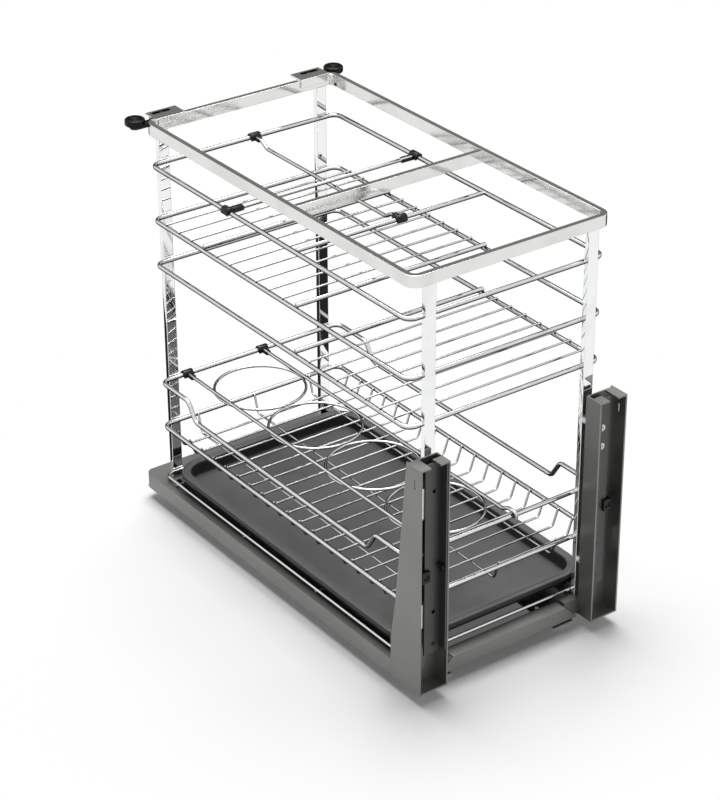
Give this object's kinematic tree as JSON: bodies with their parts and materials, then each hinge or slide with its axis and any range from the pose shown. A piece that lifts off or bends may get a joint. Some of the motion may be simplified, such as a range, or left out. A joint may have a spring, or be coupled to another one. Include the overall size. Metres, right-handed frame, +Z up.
{
  "type": "pull out cabinet basket",
  "caption": "Pull-out basket unit for a narrow base cabinet: stepped wire shelves, lower bottle basket and drip tray in a chrome frame on full-extension runners, with two door brackets.",
  "frame": {"origin": "middle of the bounding box in X and Y, on the cabinet floor under the runners' feet", "axes": "+X to the right seen from the door, +Y to the rear of the cabinet, +Z up"},
  "size_m": [0.2746, 0.508, 0.4599],
  "materials": {
    "chrome": "bright chrome plated steel",
    "grey_paint": "satin dark grey powder coat on steel sheet",
    "zinc_steel": "zinc plated steel",
    "tray_plastic": "matt grey moulded plastic",
    "black_plastic": "black moulded plastic",
    "black_steel": "black plated screws"
  },
  "bodies": {
    "cabinet_rails": {"cabinet_rail_left": "zinc_steel", "cabinet_rail_right": "zinc_steel"},
    "middle_slides": {"middle_slide_left": "zinc_steel", "middle_slide_right": "zinc_steel"},
    "carriage": {"carriage_slide_left": "zinc_steel", "carriage_slide_right": "zinc_steel", "base_frame": "grey_paint", "base_front_member": "grey_paint", "tray_holder_rim": "chrome", "post_front_left": "chrome", "post_front_right": "chrome", "post_rear_left": "chrome", "post_rear_right": "chrome", "top_frame": "chrome", "top_crossbar": "chrome", "upper_guard_rail": "chrome", "rear_shelf_rail": "chrome", "front_shelf_rail": "chrome", "fixed_cross_wire": "chrome", "rear_shelf_grid": "chrome", "front_shelf_grid": "chrome", "basket_top_rail": "chrome", "basket_bottom_rail": "chrome", "basket_cross_wires": "chrome", "basket_long_wires": "chrome", "front_bracket_left": "grey_paint", "front_bracket_right": "grey_paint", "post_spacers": "zinc_steel", "bracket_screws": "black_steel", "roller_bracket_left": "chrome", "roller_bracket_right": "chrome"},
    "cross_divider": {"cross_divider_rod": "chrome", "cross_divider_clip_left": "black_plastic", "cross_divider_clip_right": "black_plastic"},
    "long_divider": {"long_divider_rod": "chrome", "long_divider_clip_rear": "black_plastic", "long_divider_clip_front": "black_plastic"},
    "bottle_rack": {"rack_rods": "chrome", "bottle_rings": "chrome", "rack_clip_left": "black_plastic", "rack_clip_right": "black_plastic"},
    "tray": {"drip_tray": "tray_plastic"},
    "door_fixing_left": {"door_plate_left": "grey_paint", "door_clip_left": "black_plastic"},
    "door_fixing_right": {"door_plate_right": "grey_paint", "door_clip_right": "black_plastic"},
    "cam_left": {"height_cam_left": "black_plastic"},
    "cam_right": {"height_cam_right": "black_plastic"},
    "arm_left": {"roller_arm_left": "black_plastic", "roller_arm_screw_left": "black_steel"},
    "arm_right": {"roller_arm_right": "black_plastic", "roller_arm_screw_right": "black_steel"},
    "roller_left": {"guide_roller_left": "black_plastic"},
    "roller_right": {"guide_roller_right": "black_plastic"}
  },
  "joints": [
    {"name": "pull_out", "type": "slide", "parent": "cabinet_rails", "child": "carriage", "axis": [0, -1, 0], "range_m": [0, 0.44]},
    {"name": "middle_travel", "type": "slide", "parent": "cabinet_rails", "child": "middle_slides", "axis": [0, -1, 0], "range_m": [0, 0.22]},
    {"name": "cross_divider_slide", "type": "slide", "parent": "carriage", "child": "cross_divider", "axis": [0, 1, 0], "range_m": [-0.085, 0.105]},
    {"name": "long_divider_slide", "type": "slide", "parent": "carriage", "child": "long_divider", "axis": [1, 0, 0], "range_m": [-0.085, 0.065]},
    {"name": "bottle_rack_slide", "type": "slide", "parent": "carriage", "child": "bottle_rack", "axis": [1, 0, 0], "range_m": [-0.002, 0.068]},
    {"name": "tray_lift", "type": "slide", "parent": "carriage", "child": "tray", "axis": [0, 0, 1], "range_m": [0, 0.02]},
    {"name": "door_height_left", "type": "slide", "parent": "carriage", "child": "door_fixing_left", "axis": [0, 0, 1], "range_m": [-0.003, 0.0008]},
    {"name": "door_height_right", "type": "slide", "parent": "carriage", "child": "door_fixing_right", "axis": [0, 0, 1], "range_m": [-0.003, 0.0008]},
    {"name": "cam_turn_left", "type": "hinge", "parent": "door_fixing_left", "child": "cam_left", "pos_m": [-0.0969, -0.249, 0.15], "axis": [1, 0, 0], "range_deg": [-90, 90]},
    {"name": "cam_turn_right", "type": "hinge", "parent": "door_fixing_right", "child": "cam_right", "pos_m": [0.0969, -0.249, 0.15], "axis": [1, 0, 0], "range_deg": [-90, 90]},
    {"name": "arm_reach_left", "type": "slide", "parent": "carriage", "child": "arm_left", "axis": [-1, 0, 0], "range_m": [-0.0048, 0.003]},
    {"name": "arm_reach_right", "type": "slide", "parent": "carriage", "child": "arm_right", "axis": [1, 0, 0], "range_m": [-0.0048, 0.003]},
    {"name": "roller_spin_left", "type": "hinge", "parent": "arm_left", "child": "roller_left", "pos_m": [-0.1265, 0.2416, 0.455], "axis": [0, 0, 1], "continuous": true},
    {"name": "roller_spin_right", "type": "hinge", "parent": "arm_right", "child": "roller_right", "pos_m": [0.1265, 0.2416, 0.455], "axis": [0, 0, 1], "continuous": true}
  ],
  "couplings": [
    {"joint": "middle_travel", "follows": "pull_out", "ratio": 0.5}
  ]
}
